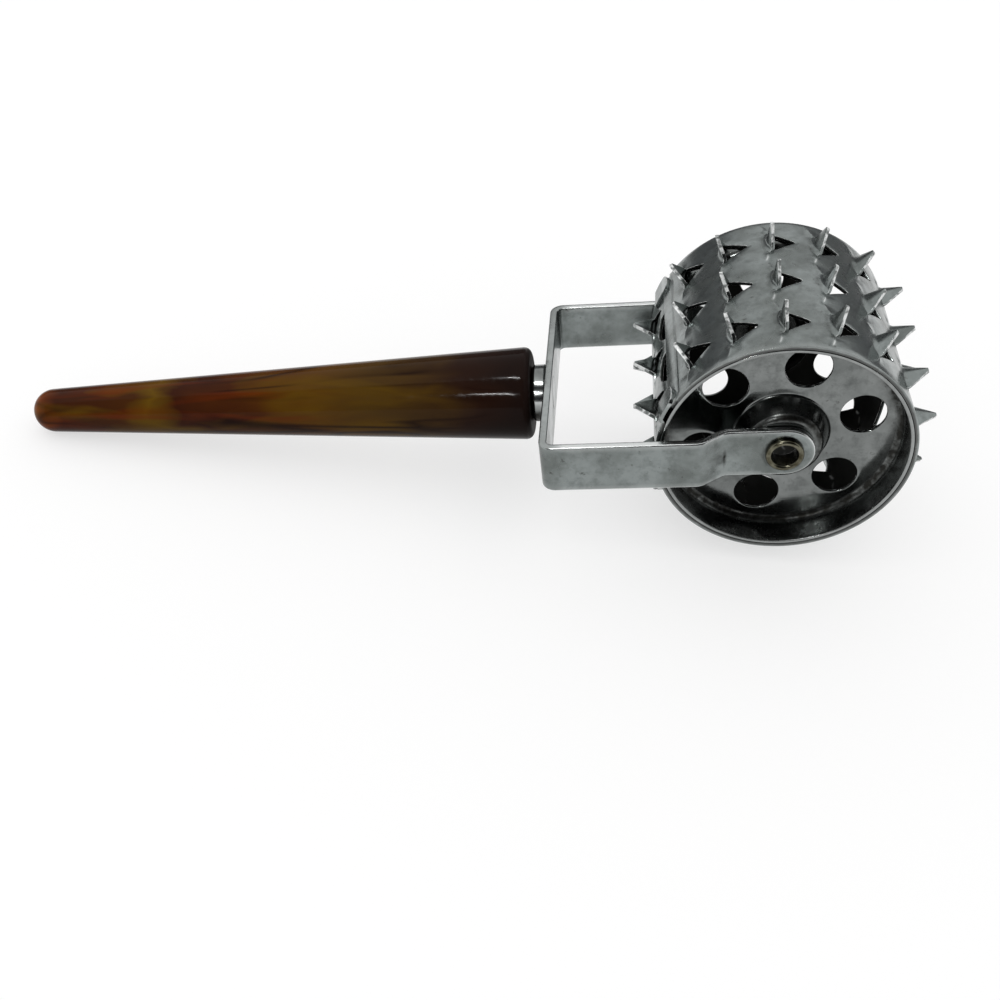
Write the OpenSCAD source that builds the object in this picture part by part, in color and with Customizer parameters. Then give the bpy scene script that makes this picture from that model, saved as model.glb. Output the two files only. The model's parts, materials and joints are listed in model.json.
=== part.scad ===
// Roller meat tenderizer: a spiked sheet drum that spins in a bent strip yoke on a tapered handle.
// Built about the axle: X runs from the handle to the drum, Y along the axle, Z up through the strip.
// The whole tool is then laid on its table, on the tips of its teeth and the tail of its handle.

/* [Drum sheet] */
// Outside diameter of the rolled sheet
drum_d = 62; // [58:0.5:68]
// Width of the drum along the axle
drum_w = 56; // [50:0.5:62]
// Thickness of the sheet
sheet_t = 0.9; // [0.7:0.05:1.2]

/* [Teeth] */
// Columns of teeth round the drum
tooth_cols = 16; // [12:1:16]
// Teeth in each column
tooth_rows = 3; // [2:1:3]
// Angle between neighbouring columns
col_pitch = 21.85; // [20:0.05:22]
// Distance between the teeth of a column
row_pitch = 17.8; // [14:0.1:19]
// Angle of the first column, just above the seam
first_col = 134.5; // [120:0.5:150]
// Height of a tooth above the sheet
tooth_h = 5.7; // [4:0.1:7]
// Width of a tooth at its root
tooth_w = 9.6; // [7:0.1:11]
// Width of the blunt tip of a tooth
tip_w = 0.8; // [0.4:0.1:1.6]
// Inside radius of the bend at the root of a tooth
root_r = 0.8; // [0.4:0.1:1.4]

/* [Seam of the sheet] */
// Angle from the first column to the seam
seam_lag = 17.5; // [15:0.5:18]
// Width of the slit where the two ends of the sheet meet
seam_slit = 0.3; // [0.2:0.05:0.6]
// Depth of the scallops in the lower end of the sheet
scallop_depth = 4.1; // [2:0.1:4.5]
// Flat left between a scallop and the middle of a tooth row
scallop_land = 2.3; // [0.4:0.1:3]
// Width of the two tabs that lap over the upper end
tab_w = 6; // [4:0.1:7]
// Distance from a tab to the rim of the drum
tab_inset = 0.2; // [0.1:0.1:3]
// Angle that a tab reaches past the seam
tab_reach = 6; // [4:0.5:9]
// Angle from the seam to the step at the root of a tab
tab_root = 6; // [4:0.5:7]
// Angle over which a tab steps up at its root
tab_step = 2; // [1:0.5:3]
// Clearance under a tab
tab_lap = 0.05; // [0.02:0.01:0.2]

/* [End cups] */
// Thickness of the pressed end cups
cup_t = 0.9; // [0.7:0.05:1.2]
// Clearance between a cup and the sheet round it
cup_fit = 0.1; // [0.02:0.01:0.3]
// Depth of the recess from the rim to the web of a cup
cup_recess = 8.1; // [7:0.1:10]
// Inside radius of the bend between wall and web
cup_corner = 2; // [1:0.1:3]
// Number of holes in each web
web_holes = 6; // [4:1:6]
// Diameter of the web holes
web_hole_d = 11; // [8:0.1:12]
// Flat left between a web hole and the bend of the wall
web_hole_edge = 1.85; // [1:0.05:3]
// Angle of the first hole in the near cup
near_phase = 14.2; // [0:0.2:60]
// Angle of the first hole in the far cup
far_phase = 37; // [0:0.2:60]
// Diameter of the boss at the web
boss_base_d = 22.4; // [18:0.1:24]
// Diameter of the flat top of the boss
boss_top_d = 17.6; // [14:0.1:19]
// Inside radius of the bends of the boss
boss_bend = 1; // [0.5:0.1:1.5]

/* [Yoke] */
// Width of the yoke's strip
strip_w = 13.5; // [11:0.1:16]
// Thickness of the strip
strip_t = 2; // [1.5:0.1:2.5]
// Gap between a rim of the drum and the arm beside it
side_gap = 1.9; // [1:0.1:4]
// Gap between the tips of the teeth and the bridge
bridge_gap = 20.2; // [12:0.1:30]
// Inside radius of the two bends at the bridge
bridge_bend = 1.5; // [1:0.1:4]
// Distance from the axle to the middle of the joggle in each arm
joggle_x = 17.2; // [15:0.1:20]
// Run of the joggle along the arm
joggle_run = 6; // [5:0.1:8]
// Inside radius of the bends of the joggle
joggle_bend = 3; // [2:0.1:4]
// Depth of the outer face of an arm end below the rim of the drum
arm_inset = 0.1; // [0:0.1:1]
// Distance from the axle to the centre of the rounded arm end
arm_end_x = 0.6; // [0:0.1:3]

/* [Eyelets] */
// Outside diameter of the eyelet barrel that the drum turns on
eyelet_d = 7.2; // [6:0.1:8]
// Wall of the eyelet
eyelet_t = 0.5; // [0.4:0.05:0.6]
// Height of the rolled rim above the arm
rim_h = 1.4; // [1.1:0.05:1.8]
// Radius of the rolled rim on the middle of its wall
rim_roll = 0.5; // [0.4:0.05:0.6]
// Clearance between the rolled rim and the arm
rim_fit = 0.05; // [0.02:0.01:0.1]
// Diameter of the clinched end inside the boss
clinch_d = 9.6; // [9:0.1:11]
// Radius of the bend of the clinched end on the middle of its wall
clinch_bend = 0.45; // [0.35:0.05:0.6]
// Radial clearance of the boss on the barrel
running_fit = 0.05; // [0.02:0.01:0.1]
// Radial clearance of the barrel in the arm
eyelet_fit = 0.02; // [0.01:0.01:0.05]
// End play of the drum at each arm
end_play = 0.15; // [0.05:0.05:0.4]

/* [Collar and stud] */
// Diameter of the collar between bridge and handle
collar_d = 15; // [12:0.1:18]
// Length of the collar
collar_l = 3.6; // [2:0.1:8]
// Rounding of the collar on the handle side
collar_round = 1.2; // [0.5:0.1:1.8]
// Diameter of the stud
stud_d = 5; // [4:0.1:6]
// Diameter of the flush head of the stud
stud_head_d = 8.4; // [7.5:0.1:9]
// Length of the stud inside the handle
stud_grip = 28; // [15:0.5:40]
// Radial clearance of the stud in its holes
stud_fit = 0.05; // [0.02:0.01:0.2]
// Room past the end of the stud in the handle
stud_room = 2; // [1:0.5:6]

/* [Handle] */
// Length of the handle
handle_l = 140; // [100:1:180]
// Diameter of the handle at its big end
handle_d = 24.5; // [20:0.1:30]
// Diameter of the round tail
tail_d = 12; // [9:0.1:16]
// Rounding of the edge at the big end
handle_edge = 2; // [1:0.1:4]

/* [Hidden] */
$fn = 128;
slack = 1;                                    // how far cutters run past what they cut
bend_blend = 0.02;                            // how far the arcs of bends run past their tangents

drum_r = drum_d / 2;
tip_r = drum_r + tooth_h;
sheet_mid_r = drum_r - sheet_t / 2;
root_mid_r = root_r + sheet_t / 2;
root_out_r = root_r + sheet_t;
blank_l = root_mid_r * PI / 2 + tip_r - sheet_mid_r - root_mid_r;  // a tooth before it is bent up
hole_lap = 0.1;                               // how far a tooth's front face overhangs the end of its hole
hole_start = sheet_t / 2 - hole_lap;
hole_end = blank_l - root_mid_r;
col_angles = [for (i = [0:tooth_cols - 1]) first_col - i * col_pitch];
row_places = [for (i = [0:tooth_rows - 1]) (i - (tooth_rows - 1) / 2) * row_pitch];
seam_angle = first_col + seam_lag;
scallop_half = row_pitch / 2 - scallop_land;
scallop_r = (scallop_half ^ 2 + scallop_depth ^ 2) / (2 * scallop_depth);

arm_out = drum_w / 2 - arm_inset;             // outer face of an arm end
arm_in = arm_out - strip_t;
yoke_half = drum_w / 2 + side_gap + strip_t;  // outer face of an arm
bridge_x = tip_r + bridge_gap + strip_t;      // outer face of the bridge
boss_top = arm_in - end_play;
boss_mid = boss_top - cup_t / 2;
wall_mid_r = drum_r - sheet_t - cup_fit - cup_t / 2;
web_mid = drum_w / 2 - cup_recess - cup_t / 2;
web_hole_r = wall_mid_r - cup_t / 2 - cup_corner - web_hole_edge - web_hole_d / 2;
eyelet_r = eyelet_d / 2;
eyelet_mid_r = eyelet_r - eyelet_t / 2;
clinch_mid = boss_top - cup_t - end_play - eyelet_t / 2;
rim_mid = arm_out + rim_h - eyelet_t / 2;

handle_x = bridge_x + collar_l;               // big end of the handle
handle_r = handle_d / 2;
tail_r = tail_d / 2;
tail_x = handle_x + handle_l - tail_r;        // centre of the round tail
taper = asin((handle_r - tail_r) / (tail_x - handle_x));

// How the tool lies: tilt, height of the axle and middle of its length
function tip_depth(a) = sheet_t / 2 * abs(cos(a)) - tip_r * sin(a);
function tip_low(tilt) = max([for (a = col_angles) tip_depth(a + tilt)]);
function tilt_at(axle_z) = asin((axle_z - tail_r) / tail_x);
function settled(tilt, rounds) = rounds == 0 ? tilt : settled(tilt_at(tip_low(tilt)), rounds - 1);
rest_tilt = settled(tilt_at(tip_r), 8);
axle_z = tip_low(rest_tilt);
front_x = max([for (a = col_angles) tip_depth(a + rest_tilt - 90)]);
back_x = -tail_x * cos(rest_tilt) - tail_r;
mid_x = (front_x + back_x) / 2;

module as_it_lies() translate([-mid_x, 0, axle_z]) rotate([0, -rest_tilt, 0]) children();

// Turned pieces are drawn up Z: about the axle Z points to the near side, along the handle to the tail
module about_axle() rotate([90, 0, 0]) children();
module along_handle() rotate([0, -90, 0]) children();

// Bent sheet seen edge on: a path of corners, each with its bend radius on the middle line
function leg_normal(p, i) = let (d = (p[i + 1] - p[i]) / norm(p[i + 1] - p[i])) [-d.y, d.x];
function mitre(p, i) =
    i == 0 ? leg_normal(p, 0) :
    i == len(p) - 1 ? leg_normal(p, i - 1) :
    let (a = leg_normal(p, i - 1), b = leg_normal(p, i)) (a + b) / (1 + a * b);
function bend_side(p, i) = sign(cross(leg_normal(p, i - 1), leg_normal(p, i)));
function bend_centre(p, r, i) = p[i] + bend_side(p, i) * r[i] * mitre(p, i);

module bend_sector(p, r, i, reach)
    polygon([[0, 0],
             for (v = [leg_normal(p, i - 1), mitre(p, i), leg_normal(p, i)]) -bend_side(p, i) * reach * v]);

// A strip of the given width, or a turned piece where the width is 0
module sweep(w) {
    if (w > 0)
        linear_extrude(w, center = true) children();
    else
        rotate_extrude() children();
}

module bent_sheet(p, r, t, w = 0)
    difference() {
        union() {
            sweep(w) polygon([for (i = [0:len(p) - 1]) p[i] + t / 2 * mitre(p, i),
                              for (i = [len(p) - 1:-1:0]) p[i] - t / 2 * mitre(p, i)]);
            for (i = [1:len(p) - 2])
                sweep(w) translate(bend_centre(p, r, i)) difference() {
                    bend_sector(p, r, i, r[i]);
                    circle(r[i] - t / 2 + bend_blend);
                }
        }
        for (i = [1:len(p) - 2])
            sweep(w) translate(bend_centre(p, r, i)) difference() {
                bend_sector(p, r, i, r[i] + 2 * t);
                circle(r[i] + t / 2 + bend_blend);
            }
    }

// Drum sheet: each place of a tooth has X along the sheet to its hole, Y outwards and Z along the axle
module each_tooth()
    for (a = col_angles, z = row_places)
        rotate(a - 90) translate([0, 0, z]) children();

module through_sheet()
    rotate([-90, 0, 0]) translate([0, 0, drum_r - sheet_t - slack])
        linear_extrude(sheet_t + 2 * slack) children();

module tooth_hole()
    through_sheet() polygon([[hole_start, -tooth_w / 2], [hole_end, -tip_w / 2], [hole_end, tip_w / 2],
                             [hole_start, tooth_w / 2]]);

module tooth()
    intersection() {
        linear_extrude(tooth_w, center = true) {
            translate([-sheet_t / 2, sheet_mid_r]) square([sheet_t, tip_r - sheet_mid_r]);
            difference() {
                translate([-root_mid_r, sheet_mid_r]) square(root_mid_r);
                translate([-root_mid_r, drum_r + root_r]) circle(root_r + bend_blend);
            }
        }
        rotate([0, 90, 0]) linear_extrude(tip_r, center = true)
            polygon([[-tooth_w / 2, drum_r - sheet_t], [-tip_w / 2, tip_r],
                     [tip_w / 2, tip_r], [tooth_w / 2, drum_r - sheet_t]]);
    }

// The corner that the bend takes off under the front face of a tooth
module tooth_underside()
    translate([sheet_t / 2 - root_out_r, drum_r - sheet_t + root_out_r])
        linear_extrude(tooth_w, center = true)
            difference() {
                translate([0, -2 * root_out_r]) square(2 * root_out_r);
                circle(root_out_r + bend_blend);
            }

module seam_gap()
    rotate(seam_angle - 90) through_sheet() {
        translate([-seam_slit, -drum_w / 2 - slack]) square([seam_slit, drum_w + 2 * slack]);
        for (i = [0:tooth_rows - 2])
            translate([0, (row_places[i] + row_places[i + 1]) / 2])
                difference() {
                    translate([scallop_r - scallop_depth, 0]) circle(scallop_r);
                    translate([-seam_slit / 2, -scallop_r]) square(2 * scallop_r);
                }
    }

module ring_part(r_in, r_out, turn)
    intersection() {
        difference() {
            circle(r_out);
            circle(r_in);
        }
        polygon([[0, 0], for (part = [0, 0.5, 1]) 2 * r_out * [cos(turn * part), sin(turn * part)]]);
    }

module seam_tab()
    linear_extrude(tab_w) {
        rotate(seam_angle - tab_reach)
            ring_part(drum_r + tab_lap, drum_r + tab_lap + sheet_t, tab_reach + tab_root + tab_step);
        rotate(seam_angle + tab_root)
            ring_part(sheet_mid_r, drum_r + tab_lap + sheet_t, tab_step);
    }

module drum_shell()
    color("#8d9091") as_it_lies() about_axle() {
        difference() {
            union() {
                difference() {
                    cylinder(r = drum_r, h = drum_w, center = true);
                    cylinder(r = drum_r - sheet_t, h = drum_w + 2 * slack, center = true);
                    each_tooth() tooth_hole();
                    seam_gap();
                }
                each_tooth() tooth();
            }
            each_tooth() tooth_underside();
        }
        for (side = [0, 1])
            mirror([0, 0, side]) translate([0, 0, drum_w / 2 - tab_inset - tab_w]) seam_tab();
    }

// End cups: wall, web with its holes, and the boss that meets the arm
module end_cup(phase)
    difference() {
        bent_sheet([[wall_mid_r, drum_w / 2], [wall_mid_r, web_mid], [boss_base_d / 2, web_mid],
                    [boss_top_d / 2, boss_mid], [eyelet_r + running_fit, boss_mid]],
                   [0, cup_corner + cup_t / 2, boss_bend + cup_t / 2, boss_bend + cup_t / 2, 0], cup_t);
        for (i = [0:web_holes - 1])
            rotate(phase + i * 360 / web_holes) translate([web_hole_r, 0, web_mid - cup_t / 2 - slack])
                cylinder(d = web_hole_d, h = cup_t + 2 * slack);
    }

module near_cup() color("#7f8384") as_it_lies() about_axle() end_cup(near_phase);

module far_cup() color("#7f8384") as_it_lies() about_axle() mirror([0, 0, 1]) end_cup(far_phase);

// Eyelets: tubular rivets with a rolled rim outside the arm, clinched inside the boss
module eyelet()
    bent_sheet([[eyelet_mid_r + 2 * rim_roll, arm_out + rim_fit], [eyelet_mid_r + 2 * rim_roll, rim_mid],
                [eyelet_mid_r, rim_mid], [eyelet_mid_r, clinch_mid], [clinch_d / 2, clinch_mid]],
               [0, rim_roll, rim_roll, clinch_bend, 0], eyelet_t);

module near_eyelet() color("#b59a5c") as_it_lies() about_axle() eyelet();

module far_eyelet() color("#b59a5c") as_it_lies() about_axle() mirror([0, 0, 1]) eyelet();

// Yoke: one strip, bent twice at the bridge and joggled into the cups at both arm ends
yoke_mid = yoke_half - strip_t / 2;
arm_mid = arm_out - strip_t / 2;
arm_tip = arm_end_x + strip_w / 2;
half_path = [[arm_tip, arm_mid], [-joggle_x + joggle_run / 2, arm_mid],
             [-joggle_x - joggle_run / 2, yoke_mid], [-bridge_x + strip_t / 2, yoke_mid]];
half_bends = [0, joggle_bend + strip_t / 2, joggle_bend + strip_t / 2, bridge_bend + strip_t / 2];

module yoke_strip()
    bent_sheet([for (i = [0:3]) half_path[i], for (i = [3:-1:0]) [half_path[i].x, -half_path[i].y]],
               [for (i = [0:3]) half_bends[i], for (i = [3:-1:0]) half_bends[i]], strip_t, strip_w);

module arm_outline() {
    translate([-bridge_x - slack, -strip_w]) square([bridge_x + slack + arm_end_x, 2 * strip_w]);
    translate([arm_end_x, 0]) circle(d = strip_w);
}

module yoke()
    color("#9a9ea0") as_it_lies() difference() {
        intersection() {
            yoke_strip();
            about_axle() linear_extrude(2 * yoke_half + 2 * slack, center = true) arm_outline();
        }
        about_axle() cylinder(r = eyelet_r + eyelet_fit, h = drum_w + 2 * slack, center = true);
        stud_place() {
            stud_shape(stud_fit, slack);
            translate([0, 0, strip_t]) cylinder(d = stud_head_d + 2 * stud_fit, h = slack);
        }
    }

// Stud: a flush countersunk head in the bridge and a shank, drawn up Z from the outer face of the bridge
module stud_place() translate([-bridge_x, 0, 0]) rotate([0, 90, 0]) children();

module stud_shape(fit, run) {
    head_h = (stud_head_d - stud_d) / 2;
    translate([0, 0, -run]) cylinder(d = stud_d + 2 * fit, h = strip_t + run);
    translate([0, 0, strip_t - head_h])
        cylinder(d1 = stud_d + 2 * fit, d2 = stud_head_d + 2 * fit, h = head_h);
}

module handle_stud() color("#84888a") as_it_lies() stud_place() stud_shape(0, collar_l + stud_grip);

module collar()
    color("#b4b8ba") as_it_lies() translate([-bridge_x, 0, 0]) along_handle()
        difference() {
            rotate_extrude() {
                square([collar_d / 2, collar_l - collar_round]);
                square([collar_d / 2 - collar_round, collar_l]);
                translate([collar_d / 2 - collar_round, collar_l - collar_round]) circle(collar_round);
            }
            translate([0, 0, -slack]) cylinder(r = stud_d / 2 + stud_fit, h = collar_l + 2 * slack);
        }

// Handle: a straight taper with a round tail, drawn from its big end
tail_edge = [tail_r * cos(taper), handle_l - tail_r + tail_r * sin(taper)];
edge_r = handle_r / cos(taper) - handle_edge * (tan(taper) + 1 / cos(taper));

module handle_profile() {
    polygon([[0, 0], [edge_r, 0], [edge_r, handle_edge],
             [edge_r + handle_edge * cos(taper), handle_edge * (1 + sin(taper))],
             tail_edge, [0, handle_l - tail_r]]);
    translate([edge_r, handle_edge]) circle(handle_edge);
    intersection() {
        translate([0, handle_l - tail_r]) circle(tail_r);
        translate([0, handle_l - tail_r]) square([2 * tail_r, 2 * tail_r]);
    }
}

module handle()
    color("#5a3414") as_it_lies() translate([-handle_x, 0, 0]) along_handle()
        difference() {
            rotate_extrude() handle_profile();
            translate([0, 0, -slack]) cylinder(r = stud_d / 2 + stud_fit, h = slack + stud_grip + stud_room);
        }

handle();
collar();
handle_stud();
yoke();
near_eyelet();
far_eyelet();
near_cup();
far_cup();
drum_shell();
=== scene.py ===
import json
from math import asin, atan2, ceil, copysign, cos, degrees, exp, floor, hypot, pi, radians, sin, sqrt, tan, tau

import bmesh
import bpy
from mathutils import Matrix, Vector
from mathutils.geometry import delaunay_2d_cdt


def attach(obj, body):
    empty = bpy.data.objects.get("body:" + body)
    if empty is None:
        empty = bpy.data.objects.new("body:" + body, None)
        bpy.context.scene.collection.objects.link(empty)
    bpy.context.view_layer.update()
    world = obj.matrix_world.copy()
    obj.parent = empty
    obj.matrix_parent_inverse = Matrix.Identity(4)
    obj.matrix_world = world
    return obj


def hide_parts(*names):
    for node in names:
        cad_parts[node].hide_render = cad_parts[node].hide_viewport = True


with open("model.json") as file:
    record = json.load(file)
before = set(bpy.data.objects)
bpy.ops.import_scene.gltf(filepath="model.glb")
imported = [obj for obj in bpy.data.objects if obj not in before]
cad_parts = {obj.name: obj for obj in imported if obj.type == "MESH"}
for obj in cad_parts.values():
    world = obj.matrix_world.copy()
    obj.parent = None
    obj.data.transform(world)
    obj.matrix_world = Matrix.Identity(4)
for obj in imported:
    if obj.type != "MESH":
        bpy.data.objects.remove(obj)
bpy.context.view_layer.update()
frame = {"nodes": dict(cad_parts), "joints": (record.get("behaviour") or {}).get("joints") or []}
print("frame loaded:", ", ".join(sorted(frame["nodes"])))

# the tool is drawn in mm about its axle, handle towards -X, near side -Y, and then laid on the table
tool = {"tilt": 8.92537, "axle": frame["joints"][0]["pos_m"], "metresPerMm": 0.001}
layDown = (Matrix.Translation(tool["axle"]) @ Matrix.Rotation(radians(-tool["tilt"]), 4, "Y")
           @ Matrix.Scale(tool["metresPerMm"], 4))
rangeEnds = ("From Min", "From Max", "To Min", "To Max")


def linearColor(hexText):  # from sRGB hex
    parts = [int(hexText[i:i + 2], 16) / 255 for i in (1, 3, 5)]
    return [p / 12.92 if p <= 0.04045 else ((p + 0.055) / 1.055) ** 2.4 for p in parts] + [1.0]


def fill(tree, node, inputs):  # links an output or sets a value
    for key, value in inputs.items():
        if isinstance(value, bpy.types.NodeSocket):
            tree.links.new(value, node.inputs[key])
        else:
            node.inputs[key].default_value = value


def addNode(tree, kind, settings={}, inputs={}):
    node = tree.nodes.new(kind if "Node" in kind else "ShaderNode" + kind)
    for key, value in settings.items():
        if key != "stops":
            setattr(node, key, value)
    stops = settings.get("stops", [])  # a ramp's places and colours
    for _ in stops[2:]:
        node.color_ramp.elements.new(0.5)
    for k, (place, hexText) in enumerate(stops):
        node.color_ramp.elements[k].position = place
        node.color_ramp.elements[k].color = linearColor(hexText)
    fill(tree, node, inputs)
    return node


def newMaterial(name):
    material = bpy.data.materials.new(name)
    material.use_nodes = True
    tree = material.node_tree
    return material, tree, tree.nodes["Principled BSDF"]


def toolPlace(tree):  # Object coordinates brought back to the tool's own mm, so that patterns have real sizes
    place = addNode(tree, "TexCoord").outputs["Object"]
    return addNode(tree, "Mapping", {"vector_type": "TEXTURE"}, {
        "Vector": place, "Location": tool["axle"], "Rotation": (0, -radians(tool["tilt"]), 0),
        "Scale": [tool["metresPerMm"]] * 3}).outputs["Vector"]


# materials

# the stain colour paints real stains and also painted shade; the bright colour paints rubbed wear and also painted
# highlights
steelLook = {
    "stainAndShade": "#1e1d1a", "speck": "#2e2c28", "bright": "#d8dbda", "dirtRoughness": 0.25,
    "grain": {"cloud": (12.0, 6.0), "mottle": (3.2, 5.0), "dirtAndShade": (2.6, 5.0), "speck": (1.7, 2.0)},  # mm, detail
    "grainRough": 0.62, "cloudStops": (0.36, 0.6), "scratchMm": (16.0, 0.9, 0.9), "scratchDetail": 3.0,
    "bump": {"Strength": 0.06, "Distance": 0.0002},
    "ranges": {"blotch": (0.48, 0.7, 0.0, 0.6), "dirtAndShade": (0.14, 0.6, 0.0, 0.95),
               "speck": (0.67, 0.76, 0.0, 0.6), "satin": (0.32, 0.68)}}
sheetLook = {"clean": "#888e8d", "dull": "#6d7270", "blotch": "#5b605e", "roughness": (0.3, 0.17)}
cupLook = {"clean": "#7f8281", "dull": "#6c6f6e", "blotch": "#4c4f4e", "roughness": (0.19, 0.1)}


def makePlatedSteel(name, finish):  # nickel plate on pressed steel: a grey mirror gone cloudy, darkened by stains and painted shade, lightened by rubbed wear and painted highlights
    look = steelLook
    material, tree, shader = newMaterial(name)
    place = toolPlace(tree)
    grain, share = {}, {}
    for key, (size, detail) in look["grain"].items():
        grain[key] = addNode(tree, "TexNoise", inputs={
            "Vector": place, "Scale": 1 / size, "Detail": detail, "Roughness": look["grainRough"]}).outputs["Fac"]
    # each piece's mask of real stains and painted shade
    grimeShade = addNode(tree, "Attribute", {"attribute_name": "grime"}).outputs["Fac"]
    # each piece's mask of rubbed wear and painted highlight
    rub = addNode(tree, "Attribute", {"attribute_name": "rub"}).outputs["Fac"]
    broken = addNode(tree, "Math", {"operation": "MULTIPLY"}, {0: grain["dirtAndShade"], 1: grimeShade}).outputs[0]
    sources = {"blotch": grain["mottle"], "dirtAndShade": broken, "speck": grain["speck"], "satin": grain["cloud"]}
    ranges = {**look["ranges"], "satin": look["ranges"]["satin"] + finish["roughness"]}
    for key, value in sources.items():
        share[key] = addNode(tree, "MapRange", inputs={
            "Value": value, **dict(zip(rangeEnds, ranges[key]))}).outputs["Result"]
    stops = list(zip(look["cloudStops"], (finish["dull"], finish["clean"])))
    color = addNode(tree, "ValToRGB", {"stops": stops}, {"Fac": grain["cloud"]}).outputs["Color"]
    # painted shade and painted highlights are mixed into the colour here, together with real stains and wear
    for factor, over in ((share["blotch"], finish["blotch"]), (share["dirtAndShade"], look["stainAndShade"]),
                         (share["speck"], look["speck"]), (rub, look["bright"])):
        color = addNode(tree, "Mix", {"data_type": "RGBA"}, {
            "Factor": factor, "A": color, "B": linearColor(over)}).outputs["Result"]
    rough = addNode(tree, "Math", {"operation": "MULTIPLY_ADD"}, {
        0: share["dirtAndShade"], 1: look["dirtRoughness"], 2: share["satin"]})
    lines = addNode(tree, "Mapping", inputs={"Vector": place, "Scale": [1 / mm for mm in look["scratchMm"]]})
    scratch = addNode(tree, "TexNoise", inputs={
        "Vector": lines.outputs["Vector"], "Scale": 1.0, "Detail": look["scratchDetail"]})
    bump = addNode(tree, "Bump", inputs={"Height": scratch.outputs["Fac"], **look["bump"]})
    fill(tree, shader, {
        "Base Color": color, "Roughness": rough.outputs[0], "Normal": bump.outputs["Normal"], "Metallic": 1.0})
    return material


edgeLook = {
    "stops": [(0.38, "#747877"), (0.56, "#eceeed")], "nickMm": 1.1, "detail": 3.0, "roughness": 0.4, "metallic": 0.3}


def makeRubbedEdge():  # sheared edges, worn pale: bright from every side, with small dull nicks
    look = edgeLook
    material, tree, shader = newMaterial("wornShearedEdge")
    nicks = addNode(tree, "TexNoise", inputs={
        "Vector": toolPlace(tree), "Scale": 1 / look["nickMm"], "Detail": look["detail"]})
    color = addNode(tree, "ValToRGB", {"stops": look["stops"]}, {"Fac": nicks.outputs["Fac"]})
    fill(tree, shader, {
        "Base Color": color.outputs["Color"], "Metallic": look["metallic"], "Roughness": look["roughness"]})
    return material


handleLook = {
    "start": -62.5, "end": -202.5, "dustMm": 1.2, "dustFine": 4.0, "endFade": (0.004, 0.011),
    "endRoughness": 0.5, "gloss": 0.04, "gold": "#5e440c", "red": "#662408", "wisp": "#1b0c08",
    "veins": {"swirl": ((40.0, 14.0, 14.0), 3.1, 3.0, 0.4), "gold": ((30.0, 9.0, 9.0), 7.7, 2.0, 0.7),
              "red": ((44.0, 5.0, 5.0), 21.3, 2.0, 0.4), "wisp": ((78.0, 9.0, 9.0), 12.3, 1.6, 0.6)},
    "veinShift": (1.0, 0.7, 0.4),  # veins hold mm, shift, detail and twist
    "ranges": {"swirl": (0.0, 1.0, -0.16, 0.16), "gold": (0.48, 0.68, 0.0, 0.7),
               "goldPart": (0.12, 0.26, 0.0, 1.0),  # the wide end stays dark
               "red": (0.55, 0.72, 0.0, 0.6), "redPart": (0.35, 0.5, 0.0, 1.0),  # the tail half is redder
               "wisp": (0.0, 0.06, 0.9, 0.0), "wispPart": (0.44, 0.62, 0.0, 1.0), "scuff": (0.45, 0.8, 0.07, 0.19)},
    "zones": [(0.0, "#1d1310"), (0.12, "#291912"), (0.3, "#473214"), (0.42, "#523511"), (0.52, "#4d2b0e"),
              (0.6, "#41200e"), (0.66, "#371a0f"), (0.715, "#5e4410"), (0.775, "#42240f"),
              (0.94, "#3a1d11"), (1.0, "#7c3d17")]}


def makeMarbledPlastic():  # cast marbled plastic, turned and polished: near black to amber, drawn out along the handle
    look = handleLook
    material, tree, shader = newMaterial("castMarbledPlastic")
    place = toolPlace(tree)
    drawn, share = {}, {}
    for key, (sizes, shift, detail, twist) in look["veins"].items():
        along = addNode(tree, "Mapping", inputs={
            "Vector": place, "Location": [shift * part for part in look["veinShift"]],
            "Scale": [1 / mm for mm in sizes]})
        drawn[key] = addNode(tree, "TexNoise", inputs={
            "Vector": along.outputs["Vector"], "Scale": 1.0, "Detail": detail, "Distortion": twist}).outputs["Fac"]
    dust = addNode(tree, "TexNoise", inputs={"Vector": place, "Scale": 1 / look["dustMm"], "Detail": look["dustFine"]})
    middle = addNode(tree, "Math", {"operation": "SUBTRACT"}, {0: drawn["wisp"], 1: 0.5})
    line = addNode(tree, "Math", {"operation": "ABSOLUTE"}, {0: middle.outputs[0]})
    along = addNode(tree, "SeparateXYZ", inputs={0: place}).outputs["X"]
    length = addNode(tree, "MapRange", inputs={
        "Value": along, "From Min": look["start"], "From Max": look["end"]}).outputs["Result"]
    sources = {"swirl": drawn["swirl"], "gold": drawn["gold"], "goldPart": length, "red": drawn["red"],
               "redPart": length, "wisp": line.outputs[0], "wispPart": drawn["swirl"], "scuff": dust.outputs["Fac"]}
    for key, value in sources.items():
        share[key] = addNode(tree, "MapRange", inputs={
            "Value": value, **dict(zip(rangeEnds, look["ranges"][key]))}).outputs["Result"]
    zone = addNode(tree, "Math", {"operation": "ADD"}, {0: length, 1: share["swirl"]})
    color = addNode(tree, "ValToRGB", {"stops": look["zones"]}, {"Fac": zone.outputs[0]}).outputs["Color"]
    for key in ("gold", "red", "wisp"):
        factor = addNode(tree, "Math", {"operation": "MULTIPLY"}, {0: share[key], 1: share[key + "Part"]})
        color = addNode(tree, "Mix", {"data_type": "RGBA"}, {
            "Factor": factor.outputs[0], "A": color, "B": linearColor(look[key])}).outputs["Result"]
    fade = look["endFade"] + (look["endRoughness"], share["scuff"])
    rough = addNode(tree, "MapRange", inputs={"Value": length, **dict(zip(rangeEnds, fade))})
    fill(tree, shader, {"Base Color": color, "Roughness": rough.outputs["Result"], "Specular IOR Level": look["gloss"]})
    return material


# the near-black tone is painted shade for the bore and the barrel below the rim
brassLook = {
    "stops": [(0.35, "#3b3728"), (0.6, "#6e6c5e")], "shadeTone": "#080603", "wearMm": 2.2, "detail": 4.0,
    "roughness": 0.26}


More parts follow.
